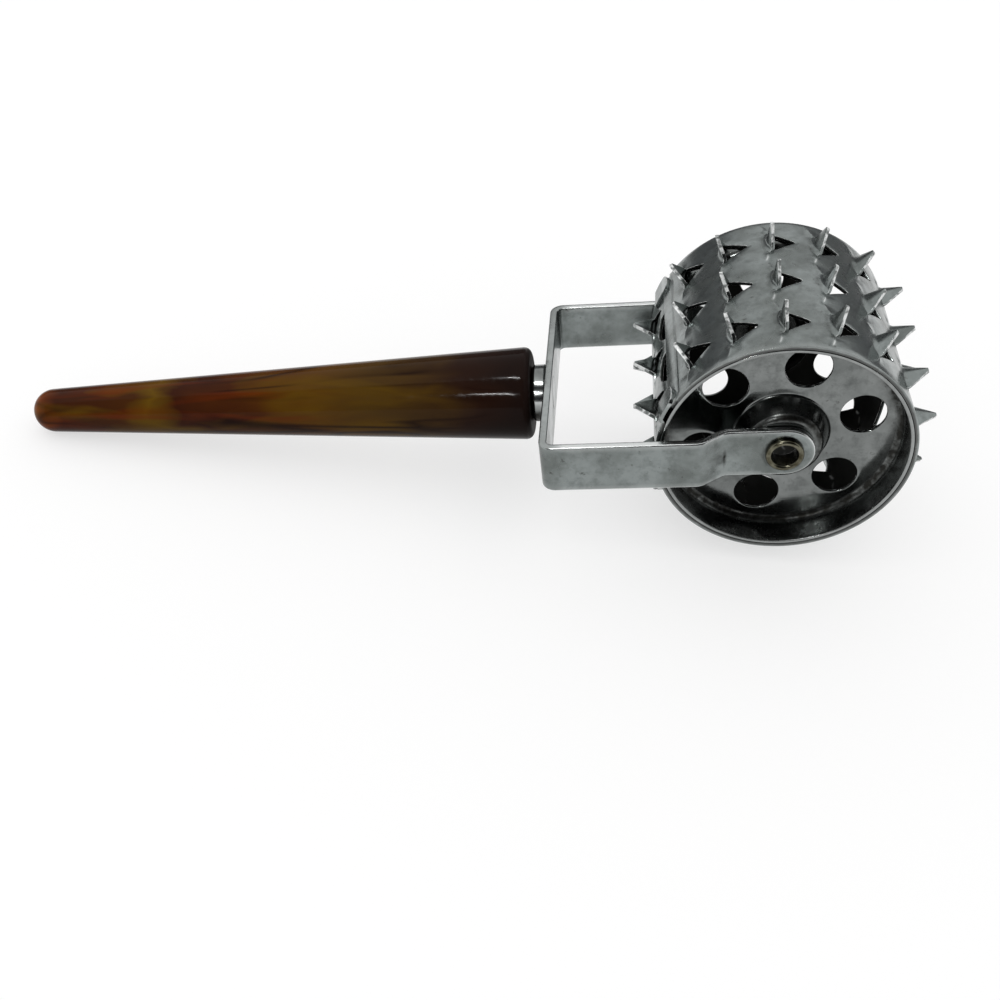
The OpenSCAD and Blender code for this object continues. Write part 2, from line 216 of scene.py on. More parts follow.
def makeEyeletBrass():  # nickel-plated brass tube, its plate worn thin: warm grey, painted near black as shade in the bore and below the rim
    look = brassLook
    material, tree, shader = newMaterial("wornPlatedBrass")
    wear = addNode(tree, "TexNoise", inputs={
        "Vector": toolPlace(tree), "Scale": 1 / look["wearMm"], "Detail": look["detail"]})
    tone = addNode(tree, "ValToRGB", {"stops": look["stops"]}, {"Fac": wear.outputs["Fac"]})
    grimeShade = addNode(tree, "Attribute", {"attribute_name": "grime"})
    color = addNode(tree, "Mix", {"data_type": "RGBA"}, {
        "Factor": grimeShade.outputs["Fac"], "A": tone.outputs["Color"], "B": linearColor(look["shadeTone"])})
    fill(tree, shader, {"Base Color": color.outputs["Result"], "Metallic": 1.0, "Roughness": look["roughness"]})
    return material


platedSteel = makePlatedSteel("nickelPlatedSteel", sheetLook)
cupSteel = makePlatedSteel("polishedNickelPlate", cupLook)
rubbedEdge = makeRubbedEdge()
marbledPlastic = makeMarbledPlastic()
eyeletBrass = makeEyeletBrass()
print("materials made")

# shared shaping

shaping = {"exact": 1e-5, "mergeMm": 0.002, "treeMerge": 0.01, "rings": 4, "bevelSegments": 3, "bevelDegrees": 48.0,
           "sharpDegrees": 38.0}


def linked(name, data):
    thing = bpy.data.objects.new(name, data)
    bpy.context.collection.objects.link(thing)
    return thing


def meshFrom(name, verts, faces):
    mesh = bpy.data.meshes.new(name)
    mesh.from_pydata([tuple(v) for v in verts], [], faces)
    mesh.validate()
    return mesh


def bentPath(corners, bends, stepDegrees):  # points along a path whose corners are rounded
    corners = [Vector(c) for c in corners]
    points = [corners[0]]
    for i, corner in enumerate(corners[1:-1], 1):
        before, after = (corner - corners[i - 1]).normalized(), (corners[i + 1] - corner).normalized()
        turn = atan2(before.x * after.y - before.y * after.x, before.dot(after))
        start = corner - before * bends[i] * tan(abs(turn) / 2)
        centre = start + Vector((-before.y, before.x)) * copysign(1.0, turn) * bends[i]
        count = max(2, ceil(degrees(abs(turn)) / stepDegrees))
        points += [centre + Matrix.Rotation(turn * k / count, 2) @ (start - centre) for k in range(count + 1)]
    points.append(corners[-1])
    return points[:1] + [q for p, q in zip(points, points[1:]) if (q - p).length > shaping["exact"]]


def split(points, step):  # a run of straight lines with extra points along it
    out = []
    for p, q in zip(points, points[1:]):
        n = max(1, ceil((Vector(q) - Vector(p)).length / step))
        out += [(p[0] + (q[0] - p[0]) * k / n, p[1] + (q[1] - p[1]) * k / n) for k in range(n)]
    return out + [points[-1]]


def gridFaces(rows, size, wrap=False):  # quads between rows of points
    return [(k * size + j, (k + 1) % rows * size + j, (k + 1) % rows * size + j + 1, k * size + j + 1)
            for k in range(rows if wrap else rows - 1) for j in range(size - 1)]


def revolved(profile, segments, turn=360.0, start=0.0):  # (radius, height) pairs turned about Z
    closed = turn >= 360
    count = segments if closed else segments + 1
    angles = [radians(start + turn * k / segments) for k in range(count)]
    verts = [(r * cos(a), r * sin(a), z) for a in angles for r, z in profile]
    return verts, gridFaces(count, len(profile), closed)


def holed(outline, centre, radius, height):  # a flat stretch with a round hole, as rings of quads
    hole, verts, faces = [], [], []
    size, rings = len(outline), shaping["rings"]
    for x, y in outline:
        d = Vector((x - centre, y)).normalized() * radius
        hole.append((centre + d.x, d.y))
    for k in range(rings + 1):
        t = k / rings
        verts += [(a + (x - a) * t, b + (y - b) * t, height) for (a, b), (x, y) in zip(hole, outline)]
    for k in range(rings):
        for j in range(size):
            a, b = k * size + j, k * size + (j + 1) % size
            faces.append((a, b, b + size, a + size))
    return verts, faces


def joined(*parts):
    verts, faces = [], []
    for v, f in parts:
        faces += [tuple(i + len(verts) for i in face) for face in f]
        verts += [tuple(p) for p in v]
    return verts, faces


def cleaned(mesh):  # doubles merged and faces turned alike, before a wall gets its thickness
    work = bmesh.new()
    work.from_mesh(mesh)
    bmesh.ops.remove_doubles(work, verts=work.verts, dist=shaping["mergeMm"])
    bmesh.ops.recalc_face_normals(work, faces=work.faces)
    work.to_mesh(mesh)
    work.free()
    return mesh


def evaluated(carrier, name):  # the finished mesh of an object with modifiers, as plain data
    bpy.context.view_layer.update()
    mesh = bpy.data.meshes.new_from_object(carrier.evaluated_get(bpy.context.evaluated_depsgraph_get()))
    mesh.name = name
    old = carrier.data
    bpy.data.objects.remove(carrier)
    bpy.data.meshes.remove(old)
    return mesh


def carrierFor(mesh):
    for finish in (platedSteel, rubbedEdge):  # faces of one finish, edges of the other
        mesh.materials.append(finish)
    return linked("carrier", mesh)


def newTree(name, sizes):  # a geometry group, its values by socket identifier, and its input sockets by name
    tree = bpy.data.node_groups.new(name, "GeometryNodeTree")
    tree.interface.new_socket("Geometry", in_out="INPUT", socket_type="NodeSocketGeometry")
    values = {tree.interface.new_socket(key, in_out="INPUT", socket_type="NodeSocket" + kind).identifier: value
              for key, (kind, value) in sizes.items()}
    tree.interface.new_socket("Geometry", in_out="OUTPUT", socket_type="NodeSocketGeometry")
    return tree, values, {socket.name: socket for socket in addNode(tree, "NodeGroupInput").outputs}


def endTree(tree, geometry, finish):
    done = addNode(tree, "GeometryNodeSetMaterial", inputs={"Geometry": geometry, "Material": finish})
    addNode(tree, "NodeGroupOutput", inputs={"Geometry": done.outputs[0]})


def addTree(carrier, tree, values):
    modifier = carrier.modifiers.new(tree.name, "NODES")
    modifier.node_group = tree
    for socket, value in values.items():
        modifier[socket] = value


def addEdges(carrier, thickness, edge):  # sheet thickness about the middle surface, and rounded cut edges
    solid = carrier.modifiers.new("thickness", "SOLIDIFY")
    solid.thickness = thickness
    solid.offset = 0.0
    solid.use_even_offset = True
    bevel = carrier.modifiers.new("edges", "BEVEL")
    bevel.width = edge
    bevel.segments = shaping["bevelSegments"]
    bevel.limit_method = "ANGLE"
    bevel.angle_limit = radians(shaping["bevelDegrees"])
    bevel.material = 1


def thickened(mesh, thickness, edge):
    carrier = carrierFor(mesh)
    addEdges(carrier, thickness, edge)
    return evaluated(carrier, mesh.name)


def finishPiece(name, mesh, place, finishes, body, node, wear):
    for key, rule in wear.items():  # per-vertex masks: real stains with painted shade, rubbed wear with painted highlights
        mesh.attributes.new(key, "FLOAT", "POINT").data.foreach_set("value", [rule(v.co) for v in mesh.vertices])
    mesh.transform(layDown @ place)
    if (layDown @ place).determinant() < 0:
        mesh.flip_normals()
    worn = [min(face.material_index, len(finishes) - 1) for face in mesh.polygons]
    mesh.materials.clear()
    for finish in finishes:
        mesh.materials.append(finish)
    mesh.polygons.foreach_set("material_index", worn)
    mesh.shade_smooth()
    mesh.set_sharp_from_angle(angle=radians(shaping["sharpDegrees"]))
    piece = linked(name, mesh)
    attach(piece, body)
    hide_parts(node)
    print("made", name, len(mesh.polygons), "faces")


def easeIn(t):  # 0 to 1 with level ends
    t = min(max(t, 0), 1)
    return t * t * (3 - 2 * t)


def bell(distance, width):
    return exp(-(distance / width) ** 2)


aboutAxle = Matrix.Rotation(radians(90), 4, "X")  # Z of a turned piece to the near side
farSide = aboutAxle @ Matrix.Scale(-1, 4, (0, 0, 1))
alongHandle = Matrix.Rotation(radians(-90), 4, "Y")  # Z of a turned piece to the tail

# drum sheet: cut and lanced flat, then rolled, as the real one was made

drum = {
    "radius": 31.0, "thickness": 0.9, "width": 56.0, "columns": 16, "rows": 3, "columnPitch": 21.85,
    "rowPitch": 17.8, "firstColumn": 134.5, "seamLag": 17.5, "slit": 0.3, "toothHeight": 5.62,
    "toothWidth": 9.6, "tipWidth": 0.8, "rootRadius": 0.8, "scallopDepth": 4.1, "scallopLand": 2.3,
    "tabWidth": 6.2, "tabReach": 6.0, "tabRoot": 8.0, "tabStep": 2.0, "tabLift": 0.95, "tabRound": 1.7,
    "tabClear": 1.5, "flange": 7.3, "flangeNotch": (2.9, 1.0), "groove": (0.45, 0.14), "tuck": (2.5, 0.5),
    "hingeBulge": 1.1, "edge": 0.33, "shearFrom": 1.3, "shearFacing": 0.5,
    "crease": {"length": 3.9, "drift": 0.06, "half": 0.6, "height": 0.26, "rise": 0.8, "bright": 0.24},
    "mesh": {"outlineStep": 1.25, "holeStep": 0.9, "foldHalf": 6, "rootRows": 7, "sideRows": 5,
             "scallopSteps": 16, "tabRows": 16, "tabColumns": 10, "cell": 0.7, "columns": 150, "rows": 46,
             "creasePast": (0.35, 0.8, 1.25, 1.7, 2.15, 2.6, 3.05, 3.5, 3.95),
             "creaseOff": (-1, -0.45, 0, 0.45, 1), "grooveOff": (-2, -1, 0, 1, 2), "grooveSteps": 42,
             "grooveEnd": 0.7, "seamReach": 10.0},
    "wear": {"fold": 0.5, "foldBehind": 0.8, "foldWide": 1.0, "foldPast": 0.5, "foldEnd": 1.2, "seam": 0.5,
             "grooveWide": 0.7, "lipWide": 0.4, "inside": 2.0, "insideFrom": 0.3, "farSide": 0.25,
             "columnSway": 5.1, "rowSway": 0.7, "creaseFrom": 1.2, "creaseRise": 0.8, "creaseFall": 0.9,
             "flange": 0.3, "flangeRise": 0.8, "flangeIn": 0.6, "rim": 0.14, "rimWide": 0.3}}
midRadius = drum["radius"] - drum["thickness"] / 2
perDegree = radians(midRadius)  # mm along the sheet for each degree
sheetEnd = 360 * perDegree - drum["slit"]
sheetHalf = drum["width"] / 2
tabStart = sheetEnd - drum["tabRoot"] * perDegree
tabIn = sheetHalf - drum["tabWidth"]
tabAcross = [tabIn + drum["tabWidth"] * (1 - cos(pi * k / drum["mesh"]["tabColumns"])) / 2
             for k in range(drum["mesh"]["tabColumns"] + 1)]
foldAcross = [k / drum["mesh"]["foldHalf"] - 1 for k in range(2 * drum["mesh"]["foldHalf"] + 1)]
seamDegrees = drum["firstColumn"] + drum["seamLag"]
flangeEnd = drum["flange"] * perDegree
rootMid = drum["rootRadius"] + drum["thickness"] / 2
blankLength = rootMid * pi / 2 + drum["toothHeight"] + drum["thickness"] / 2 - rootMid
columnPlaces = [(drum["seamLag"] + k * drum["columnPitch"]) * perDegree for k in range(drum["columns"])]
rowPlaces = [(k - (drum["rows"] - 1) / 2) * drum["rowPitch"] for k in range(drum["rows"])]


def nearTooth(x, y):  # distance from the nearest tooth's fold line, and past the end of that line
    across = min((x - (place - rootMid) for place in columnPlaces), key=abs)
    past = min(abs(y - row) for row in rowPlaces) - drum["toothWidth"] / 2
    return across, past


def fromCrease(x, y):  # each fold runs on past its tooth's corners as a raised crease that drifts off
    across, past = nearTooth(x, y)
    return across + drum["crease"]["drift"] * max(past, 0) ** 2, past


def sheetLift(x, y):  # how far the sheet stands off its cylinder: flat flange, tucked fingers, creases beside the teeth
    s, c = drum, drum["crease"]
    lift = -s["groove"][1] * bell(x - flangeEnd, s["groove"][0])
    clear = easeIn((tabIn - abs(y)) / s["tabClear"])  # level under the tabs
    if x < flangeEnd:
        lift += clear * midRadius * (1 / cos((flangeEnd - x) / midRadius) - 1)
    lift -= s["tuck"][1] * clear * easeIn((x - sheetEnd) / s["tuck"][0] + 1)
    off, past = fromCrease(x, y)
    if abs(off) < c["half"] and 0 < past < c["length"]:
        lift += c["height"] * easeIn(past / c["rise"]) * (1 - past / c["length"]) * (1 - (off / c["half"]) ** 2) ** 2
    return lift


def sheetOutline():
    s, steps = drum, drum["mesh"]["scallopSteps"]
    scallopHalf = s["rowPitch"] / 2 - s["scallopLand"]
    scallopRadius = (scallopHalf ** 2 + s["scallopDepth"] ** 2) / (2 * s["scallopDepth"])
    reach = asin(scallopHalf / scallopRadius)
    corner, depth = s["flangeNotch"]
    edge = [(corner, -sheetHalf)] + [(tabStart, -y) for y in reversed(tabAcross)] + [(sheetEnd, -tabIn)]
    for middle in (-s["rowPitch"] / 2, s["rowPitch"] / 2):
        for k in range(steps + 1):
            a = -reach + 2 * reach * k / steps
            edge.append((sheetEnd + scallopRadius - s["scallopDepth"] - scallopRadius * cos(a),
                         middle + scallopRadius * sin(a)))
    edge += [(sheetEnd, tabIn)] + [(tabStart, y) for y in tabAcross] + [
        (corner, sheetHalf), (corner, sheetHalf - depth), (0, sheetHalf - depth), (0, depth - sheetHalf),
        (corner, depth - sheetHalf), (corner, -sheetHalf)]
    return split(edge, s["mesh"]["outlineStep"])[:-1]


def hinge(v):  # how far the fold bulges, v from -1 to 1 across the tooth
    return drum["hingeBulge"] * (1 - v * v)


def toothHoles():
    w, t = drum["toothWidth"] / 2, drum["tipWidth"] / 2
    holes = []
    for place in columnPlaces:
        for row in rowPlaces:
            start, end = place - rootMid, place - rootMid + blankLength
            base = [(start - hinge(v), row + w * v) for v in foldAcross]
            sides = split([base[-1], (end, row + t), (end, row - t), base[0]], drum["mesh"]["holeStep"])
            holes.append(base + sides[1:-1])
    return holes


def within(p, loop):
    inside = False
    for a, b in zip(loop, loop[1:] + loop[:1]):
        if (a[1] > p.y) != (b[1] > p.y) and p.x < (b[0] - a[0]) * (p.y - a[1]) / (b[1] - a[1]) + a[0]:
            inside = not inside
    return inside


def sheetSpots(loops):  # points for the mesh, finer where a crease or a groove is pressed in, and the edges to keep
    s, m, c = drum, drum["mesh"], drum["crease"]
    spots, edges = [], []
    for loop in loops:
        first = len(spots)
        spots += loop
        edges += [(first + k, first + (k + 1) % len(loop)) for k in range(len(loop))]
    for row in rowPlaces:
        for place in columnPlaces:
            for side in (-1, 1):
                spots += [(place - rootMid - c["drift"] * past ** 2 + off * c["half"],
                           row + side * (s["toothWidth"] / 2 + past))
                          for past in m["creasePast"] for off in m["creaseOff"]]
    reach = sheetHalf - s["flangeNotch"][1] - m["grooveEnd"]
    for off in m["grooveOff"]:
        spots += [(flangeEnd + off * s["groove"][0], -reach + 2 * reach * k / m["grooveSteps"])
                  for k in range(m["grooveSteps"] + 1)]
    taken = {(floor(x / m["cell"]), floor(y / m["cell"])) for x, y in spots}
    for i in range(1, m["columns"]):
        for j in range(1, m["rows"]):
            x, y = sheetEnd * i / m["columns"], -sheetHalf + s["width"] * j / m["rows"]
            u, v = floor(x / m["cell"]), floor(y / m["cell"])
            if not any((u + a, v + b) in taken for a in (-1, 0, 1) for b in (-1, 0, 1)):
                spots.append((x, y))
    return spots, edges


def lapTabs():  # two tabs with rounded ends, stepped up to lap over the flange
    s, rows = drum, drum["mesh"]["tabRows"]
    tabs = []
    for side in (-1, 1):
        grid = []
        for k in range(rows + 1):
            for y in tabAcross:
                corner = 1 - sqrt(max(0, 1 - (2 * (y - tabIn) / s["tabWidth"] - 1) ** 2))
                x = tabStart + (sheetEnd + s["tabReach"] * perDegree - s["tabRound"] * corner - tabStart) * k / rows
                grid.append((x, side * y, s["tabLift"] * easeIn((x - tabStart) / (s["tabStep"] * perDegree))))
        tabs.append((grid, [face[::side] for face in gridFaces(rows + 1, len(tabAcross))]))
    return tabs


def flatSheet():
    outline, holes = sheetOutline(), toothHoles()
    spots, edges = sheetSpots([outline] + holes)
    points, _, triangles, _, _, _ = delaunay_2d_cdt([Vector(p) for p in spots], edges, [], 0, shaping["exact"])
    faces = []
    for triangle in triangles:
        c = sum((points[i] for i in triangle), Vector((0, 0))) / 3
        onSheet = flangeEnd < c.x < sheetEnd - drum["mesh"]["seamReach"] or within(c, outline)
        if onSheet and not any(-drum["hingeBulge"] <= c.x - hole[0][0] <= blankLength and within(c, hole)
                               for hole in holes):
            faces.append(tuple(triangle))
    used = sorted({i for triangle in faces for i in triangle})
    number = {old: new for new, old in enumerate(used)}
    sheet = ([(points[i].x, points[i].y, sheetLift(*points[i])) for i in used],
             [tuple(number[i] for i in triangle) for triangle in faces])
    return joined(sheet, *lapTabs())


def toothBlank():  # one tooth, bent up from the end of its hole
    s, m = drum, drum["mesh"]
    rows = [rootMid * pi / 2 * k / m["rootRows"] for k in range(m["rootRows"] + 1)]
    rows += [rows[-1] + (blankLength - rows[-1]) * k / m["sideRows"] for k in range(1, m["sideRows"] + 1)]
    verts = []
    for along in rows:
        a = min(along / rootMid, pi / 2)
        x = rootMid * sin(a) - rootMid
        z = rootMid * (1 - cos(a)) + max(along - rootMid * pi / 2, 0)
        w = s["toothWidth"] + (s["tipWidth"] - s["toothWidth"]) * along / blankLength
        verts += [(x - hinge(v) * (1 - along / blankLength), w / 2 * v, z) for v in foldAcross]
    return verts, gridFaces(len(rows), len(foldAcross))


def rolledTree(toothObject):  # teeth set in rows on the flat sheet, and all of it rolled up
    s = drum
    tree, values, value = newTree("rolledDrumSheet", {
        "Columns": ("Int", s["columns"]), "Rows": ("Int", s["rows"]), "Row Step": ("Float", s["rowPitch"]),
        "Column Step": ("Float", s["columnPitch"] * perDegree), "First Column": ("Float", columnPlaces[0]),
        "Middle Radius": ("Float", midRadius), "Seam Angle": ("Float", radians(seamDegrees)),
        "Tooth": ("Object", toothObject), "Finish": ("Material", platedSteel)})
    place = addNode(tree, "GeometryNodeInputPosition").outputs[0]
    value.update({socket.name: socket for socket in addNode(tree, "SeparateXYZ", inputs={0: place}).outputs})
    sums = (("columnGaps", "SUBTRACT", "Columns", 1.0), ("wide", "MULTIPLY", "columnGaps", "Column Step"),
            ("rowGaps", "SUBTRACT", "Rows", 1.0), ("deep", "MULTIPLY", "rowGaps", "Row Step"),
            ("halfWide", "MULTIPLY", "wide", 0.5), ("middle", "ADD", "First Column", "halfWide"),
            ("turned", "DIVIDE", "X", "Middle Radius"), ("angle", "SUBTRACT", "Seam Angle", "turned"),
            ("cosine", "COSINE", "angle"), ("sine", "SINE", "angle"), ("radius", "ADD", "Middle Radius", "Z"),
            ("rolledX", "MULTIPLY", "radius", "cosine"), ("rolledZ", "MULTIPLY", "radius", "sine"))
    for name, operation, *terms in sums:
        value[name] = addNode(tree, "Math", {"operation": operation}, {
            k: value.get(term, term) for k, term in enumerate(terms)}).outputs[0]
    grid = addNode(tree, "GeometryNodeMeshGrid", inputs={
        "Size X": value["wide"], "Size Y": value["deep"], "Vertices X": value["Columns"], "Vertices Y": value["Rows"]})
    shift = addNode(tree, "CombineXYZ", inputs={"X": value["middle"]})
    placed = addNode(tree, "GeometryNodeTransform", inputs={
        "Geometry": grid.outputs["Mesh"], "Translation": shift.outputs[0]})
    tooth = addNode(tree, "GeometryNodeObjectInfo", {"transform_space": "ORIGINAL"}, {"Object": value["Tooth"]})
    teeth = addNode(tree, "GeometryNodeInstanceOnPoints", inputs={
        "Points": placed.outputs["Geometry"], "Instance": tooth.outputs["Geometry"]})
    solid = addNode(tree, "GeometryNodeRealizeInstances", inputs={"Geometry": teeth.outputs["Instances"]})
    both = addNode(tree, "GeometryNodeJoinGeometry")
    for part in (value["Geometry"], solid.outputs[0]):
        tree.links.new(part, both.inputs[0])
    merged = addNode(tree, "GeometryNodeMergeByDistance", inputs={
        "Geometry": both.outputs[0], "Distance": shaping["treeMerge"]})
    rolled = addNode(tree, "CombineXYZ", inputs={"X": value["rolledX"], "Y": value["Y"], "Z": value["rolledZ"]})
    curled = addNode(tree, "GeometryNodeSetPosition", inputs={
        "Geometry": merged.outputs[0], "Position": rolled.outputs[0]})
    endTree(tree, curled.outputs[0], value["Finish"])
    return tree, values


def alongSheet(p):  # mm from the seam round to a point of the rolled sheet
    return (seamDegrees - degrees(atan2(p.z, p.x))) % 360 * perDegree


def sheetStainsAndShade(p):  # stains stay along the folds of the teeth and in the seam, and the inside of the drum is painted dark as shade
    x, w = alongSheet(p), drum["wear"]
    across, past = nearTooth(x, p.y)
    fold = w["fold"] * bell(across + w["foldBehind"], w["foldWide"]) * bell(max(past - w["foldPast"], 0), w["foldEnd"])
    seam = w["seam"] * max(bell(x - flangeEnd, w["grooveWide"]), bell(x, w["lipWide"]))
    # painted shade over the drum's whole inner face
    inside = w["inside"] if hypot(p.x, p.z) < midRadius - w["insideFrom"] else 0
    return max(fold, seam, inside)


def sheetPaintedHighlight(p):  # painted highlights: glints on the creases, a lighter flange and bright lines along the rims
    x, w, c = alongSheet(p), drum["wear"], drum["crease"]
    off, past = fromCrease(x, p.y)
    row = min(rowPlaces, key=lambda place: abs(p.y - place))
    column = round(x / perDegree / drum["columnPitch"])
    uneven = 0.5 + 0.5 * sin(w["columnSway"] * column + w["rowSway"] * row)
    # the painted glints are strong on the near side of each row and faint on the far side
    strength = uneven if p.y < row else w["farSide"] * uneven
    crease = (strength * bell(off, c["bright"]) * easeIn((past - w["creaseFrom"]) / w["creaseRise"])
              * easeIn((c["length"] - past) / w["creaseFall"]))
    # painted highlight: the flat flange shown lighter
    flange = w["flange"] * easeIn(x / w["flangeRise"]) * easeIn((flangeEnd - w["flangeIn"] - x) / w["flangeRise"])
    # painted highlight along the rims
    return max(crease, flange, w["rim"] * bell(sheetHalf - abs(p.y), w["rimWide"]))


def makeDrumShell():
    s = drum
    toothObject = carrierFor(meshFrom("toothBlank", *toothBlank()))
    carrier = carrierFor(meshFrom("drumShell", *flatSheet()))
    addTree(carrier, *rolledTree(toothObject))
    addEdges(carrier, s["thickness"], s["edge"])
    mesh = evaluated(carrier, "drumShell")
    bpy.data.objects.remove(toothObject)
    for side in mesh.polygons:
        out = Vector((side.center.x, side.center.z))
        if out.length > s["radius"] + s["shearFrom"]:  # a tooth is bright along the middle of its sheared sides
            facing = abs(side.normal.x * out.y - side.normal.z * out.x) / out.length
            side.material_index = 1 if facing < s["shearFacing"] else 0
        elif abs(side.center.y) > sheetHalf - s["thickness"]:
            side.material_index = 0  # the rims were rolled smooth
    finishPiece("drumShell", mesh, Matrix.Identity(4), [platedSteel, rubbedEdge], "drum", "drum_shell",
                {"grime": sheetStainsAndShade, "rub": sheetPaintedHighlight})


makeDrumShell()

# end cups: one sixth of the pressing, repeated round the axle

cup = {
    "thickness": 0.9, "wallRadius": 29.55, "rim": 28.0, "web": 19.45, "cornerRadius": 2.45, "bossBase": 11.2,
    "bossTop": 8.8, "bossHeight": 25.3, "bossBend": 1.45, "bore": 3.65, "holes": 6, "holeRadius": 5.5,
    "holeCircle": 19.75, "nearPhase": 14.2, "farPhase": 37.0, "edge": 0.24,
    "mesh": {"bendDegrees": 7.5, "wallRows": 4, "steps": 20, "sideRows": 10, "same": 1e-4},
    "wear": {"corner": 1.1, "cornerIn": 1.4, "cornerWide": 1.5, "wallShade": 0.5, "wallShadeIn": 2.0, "wallShadeWide": 4.0,
             "base": 0.55, "baseWide": 0.9, "top": 1.0, "topWide": 1.3, "topUp": 2.0,
             "pivot": 0.8, "pivotWide": 1.6, "hidden": 2.0, "hiddenIn": 2.5, "hiddenUp": 5.3, "hiddenBack": 0.3,
             "lip": 0.25, "lipWide": 0.4}}


def cupSector():
    c, m = cup, cup["mesh"]
    path = [(p.x, p.y) for p in bentPath(
        [(c["wallRadius"], c["rim"]), (c["wallRadius"], c["web"]), (c["bossBase"], c["web"]),
         (c["bossTop"], c["bossHeight"]), (c["bore"], c["bossHeight"])],
        [0, c["cornerRadius"], c["bossBend"], c["bossBend"], 0], m["bendDegrees"])]
    flat = [r for r, z in path if abs(z - c["web"]) < m["same"]]
    outerR, innerR = max(flat), min(flat)
    wall = [p for p in path if p[0] >= outerR - m["same"]]
    (r, top), (_, low) = wall[:2]
    wall = [(r, top + (low - top) * k / m["wallRows"]) for k in range(m["wallRows"])] + wall[1:]
    boss = [p for p in path if p[0] <= innerR + m["same"]]
    sector = 360 / c["holes"]
    arc = [radians(-sector / 2 + sector * k / m["steps"]) for k in range(m["steps"] + 1)]
    sides = [innerR + (outerR - innerR) * k / m["sideRows"] for k in range(1, m["sideRows"])]
    outline = [(outerR * cos(a), outerR * sin(a)) for a in arc]
    outline += [(r * cos(arc[-1]), r * sin(arc[-1])) for r in reversed(sides)]
    outline += [(innerR * cos(a), innerR * sin(a)) for a in reversed(arc)]
    outline += [(r * cos(arc[0]), r * sin(arc[0])) for r in sides]
    web = holed(outline, c["holeCircle"], c["holeRadius"], c["web"])
    return joined(*(revolved(part, m["steps"], sector, -sector / 2) for part in (wall, boss)), web)


def repeatedTree():  # copies of the sector turned about the axle
    tree, values, given = newTree("pressedCup", {"Count": ("Int", cup["holes"]), "Finish": ("Material", platedSteel)})
    line = addNode(tree, "GeometryNodeMeshLine", inputs={"Count": given["Count"], "Offset": (0, 0, 0)})
    step = addNode(tree, "Math", {"operation": "DIVIDE"}, {0: tau, 1: given["Count"]})
    number = addNode(tree, "GeometryNodeInputIndex")
    angle = addNode(tree, "Math", {"operation": "MULTIPLY"}, {0: number.outputs[0], 1: step.outputs[0]})
    turn = addNode(tree, "CombineXYZ", inputs={"Z": angle.outputs[0]})
    copies = addNode(tree, "GeometryNodeInstanceOnPoints", inputs={
        "Points": line.outputs[0], "Instance": given["Geometry"], "Rotation": turn.outputs[0]})
    solid = addNode(tree, "GeometryNodeRealizeInstances", inputs={"Geometry": copies.outputs[0]})
    merged = addNode(tree, "GeometryNodeMergeByDistance", inputs={
        "Geometry": solid.outputs[0], "Distance": shaping["treeMerge"]})
    endTree(tree, merged.outputs[0], given["Finish"])
    return tree, values


def cupShadeAndDirt(p):  # painted shade in the corner, round the boss and on the inner faces; dirt at the pivot
    c, w = cup, cup["wear"]
    r = hypot(p.x, p.y)
    # painted shade: a dark fillet and a wider gradient towards the wall
    corner = max(w["corner"] * bell(r - c["wallRadius"] + w["cornerIn"], w["cornerWide"]),
                 w["wallShade"] * bell(r - c["wallRadius"] + w["wallShadeIn"], w["wallShadeWide"])) if p.z > c["web"] else 0
    # painted shade round the foot and the top edge of the boss
    base = w["base"] * bell(r - c["bossBase"], w["baseWide"])
    top = w["top"] * bell(r - c["bossTop"], w["topWide"]) if p.z > c["web"] + w["topUp"] else 0
    pivot = w["pivot"] * bell(r - c["bore"], w["pivotWide"])
    # painted shade on the faces turned into the drum
    back = c["web"] - w["hiddenBack"] + (w["hiddenUp"] if r < c["bossBase"] else 0)
    hidden = w["hidden"] if r < c["wallRadius"] - w["hiddenIn"] and p.z < back else 0
    return max(corner, base, top, pivot, hidden)


def cupPaintedHighlight(p):  # a painted highlight along the lip
    return cup["wear"]["lip"] * bell(cup["rim"] - p.z, cup["wear"]["lipWide"])


def makeCup(name, node, phase, side):
    carrier = carrierFor(cleaned(meshFrom(name, *cupSector())))
    addTree(carrier, *repeatedTree())
    addEdges(carrier, cup["thickness"], cup["edge"])
    finishPiece(name, evaluated(carrier, name), side @ Matrix.Rotation(radians(phase), 4, "Z"), [cupSteel], "drum",
                node, {"grime": cupShadeAndDirt, "rub": cupPaintedHighlight})


makeCup("nearCup", "near_cup", cup["nearPhase"], aboutAxle)
makeCup("farCup", "far_cup", cup["farPhase"], farSide)

# eyelets: hollow rivets with a rolled rim outside each arm

eyelet = {
    "middleRadius": 3.35, "wall": 0.5, "rimFoot": 27.95, "rimTop": 29.05, "roll": 0.5, "clinch": 24.45,
    "clinchRadius": 4.8, "clinchBend": 0.45, "edge": 0.1, "segments": 72, "bendDegrees": 15.0,
    "wear": {"boreWide": 0.3, "boreDeep": 1.2, "paintedShade": 0.8, "fade": 0.5}}


def eyeletPaintedShade(p):  # painted shade: dark in the bore and below the rolled rim
    e, w = eyelet, eyelet["wear"]
    into = e["middleRadius"] - hypot(p.x, p.y)
    bore = easeIn(into / w["boreWide"]) * easeIn((e["rimTop"] - p.z) / w["boreDeep"])
    return max(bore, w["paintedShade"] * easeIn((e["rimFoot"] + w["fade"] - p.z) / w["fade"]))


